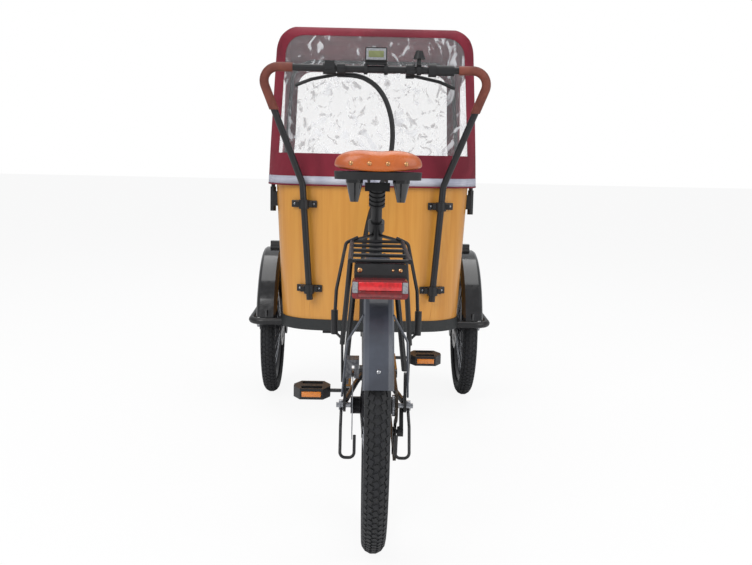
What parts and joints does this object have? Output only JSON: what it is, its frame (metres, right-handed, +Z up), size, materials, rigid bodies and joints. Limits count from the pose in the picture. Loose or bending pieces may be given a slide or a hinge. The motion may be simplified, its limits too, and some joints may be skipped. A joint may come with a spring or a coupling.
{
  "type": "electric three-wheeled box cargo bike",
  "caption": "Three-wheeled electric cargo bike with a steered wooden front box, fabric rain canopy with clear windows, looped handlebar and rear hub drive.",
  "frame": {"origin": "on the ground under the middle of the vehicle's overall box", "axes": "+Y forward, towards the cargo box; +X to the rider's right; +Z up"},
  "size_m": [0.864, 2.1899, 1.3339],
  "materials": {
    "black_frame": "satin",
    "black_metal": "gloss",
    "tyre": "matte",
    "rim": "satin",
    "steel": "satin",
    "motor": "satin",
    "chain": "satin",
    "tan_leather": "semi-gloss",
    "black_plastic": "matte",
    "slate_fender": "satin",
    "gloss_fender": "gloss",
    "red_lens": "gloss",
    "plywood": "satin",
    "tray_black": "matte",
    "grip_leather": "matte",
    "canopy_fabric": "matte",
    "clear_film": "gloss",
    "cushion": "matte",
    "rubber": "matte"
  },
  "bodies": {
    "rear_frame": {"main_frame": "black_frame", "chain_stays": "black_frame", "seat_stays": "black_frame", "rear_axle": "steel", "seat_post": "black_metal", "saddle_cover": "tan_leather", "saddle_base": "black_plastic", "saddle_springs": "black_metal", "rear_rack": "black_frame", "rack_end_housing": "black_plastic", "tail_light": "red_lens", "rear_fender": "slate_fender", "rack_straps": "rubber", "chain": "chain", "derailleur": "black_metal", "rear_caliper": "black_metal", "axle_guards": "black_frame"},
    "rear_wheel": {"rear_tyre": "tyre", "rear_rim": "rim", "rear_spokes": "steel", "rear_hub_motor": "motor", "rear_brake_disc": "steel", "rear_sprocket": "steel"},
    "crankset": {"crank_arms": "black_metal", "chainring": "black_metal"},
    "left_pedal": {"pedal_left": "black_plastic"},
    "right_pedal": {"pedal_right": "black_plastic"},
    "front_assembly": {"box_tray": "tray_black", "box_rear_panel": "plywood", "box_front_panel": "plywood", "box_side_left": "plywood", "box_side_right": "plywood", "bench_board": "plywood", "bench_cushion": "cushion", "sub_frame": "black_frame", "wheel_guards": "black_frame", "front_axles": "steel", "front_fenders": "gloss_fender", "front_calipers": "black_metal", "handlebar": "black_frame", "grip_wraps": "grip_leather", "post_brackets": "black_frame", "display": "black_plastic", "brake_levers": "black_metal", "left_switch": "black_plastic", "twist_grip": "black_plastic", "bell": "black_plastic", "canopy": "canopy_fabric", "canopy_windows": "clear_film", "canopy_poles": "black_frame", "pole_sockets": "black_frame", "cable_loom": "rubber"},
    "left_front_wheel": {"front_tyre_left": "tyre", "front_rim_left": "rim", "front_hub_left": "motor", "front_spokes_left": "steel"},
    "right_front_wheel": {"front_tyre_right": "tyre", "front_rim_right": "rim", "front_hub_right": "motor", "front_spokes_right": "steel"}
  },
  "joints": [
    {"name": "rear_wheel_spin", "type": "hinge", "parent": "rear_frame", "child": "rear_wheel", "pos_m": [0, -0.7615, 0.3335], "axis": [1, 0, 0], "continuous": true},
    {"name": "crank_spin", "type": "hinge", "parent": "rear_frame", "child": "crankset", "pos_m": [0, -0.3065, 0.302], "axis": [1, 0, 0], "continuous": true},
    {"name": "left_pedal_spin", "type": "hinge", "parent": "crankset", "child": "left_pedal", "pos_m": [-0.16, -0.4763, 0.29384], "axis": [1, 0, 0], "continuous": true},
    {"name": "right_pedal_spin", "type": "hinge", "parent": "crankset", "child": "right_pedal", "pos_m": [0.16, -0.1367, 0.31016], "axis": [1, 0, 0], "continuous": true},
    {"name": "steering", "type": "hinge", "parent": "rear_frame", "child": "front_assembly", "pos_m": [0, 0.6645, 0.248], "axis": [0, 0, 1], "range_deg": [-40, 40]},
    {"name": "left_front_wheel_spin", "type": "hinge", "parent": "front_assembly", "child": "left_front_wheel", "pos_m": [-0.3665, 0.6645, 0.257], "axis": [1, 0, 0], "continuous": true},
    {"name": "right_front_wheel_spin", "type": "hinge", "parent": "front_assembly", "child": "right_front_wheel", "pos_m": [0.3665, 0.6645, 0.257], "axis": [1, 0, 0], "continuous": true}
  ]
}
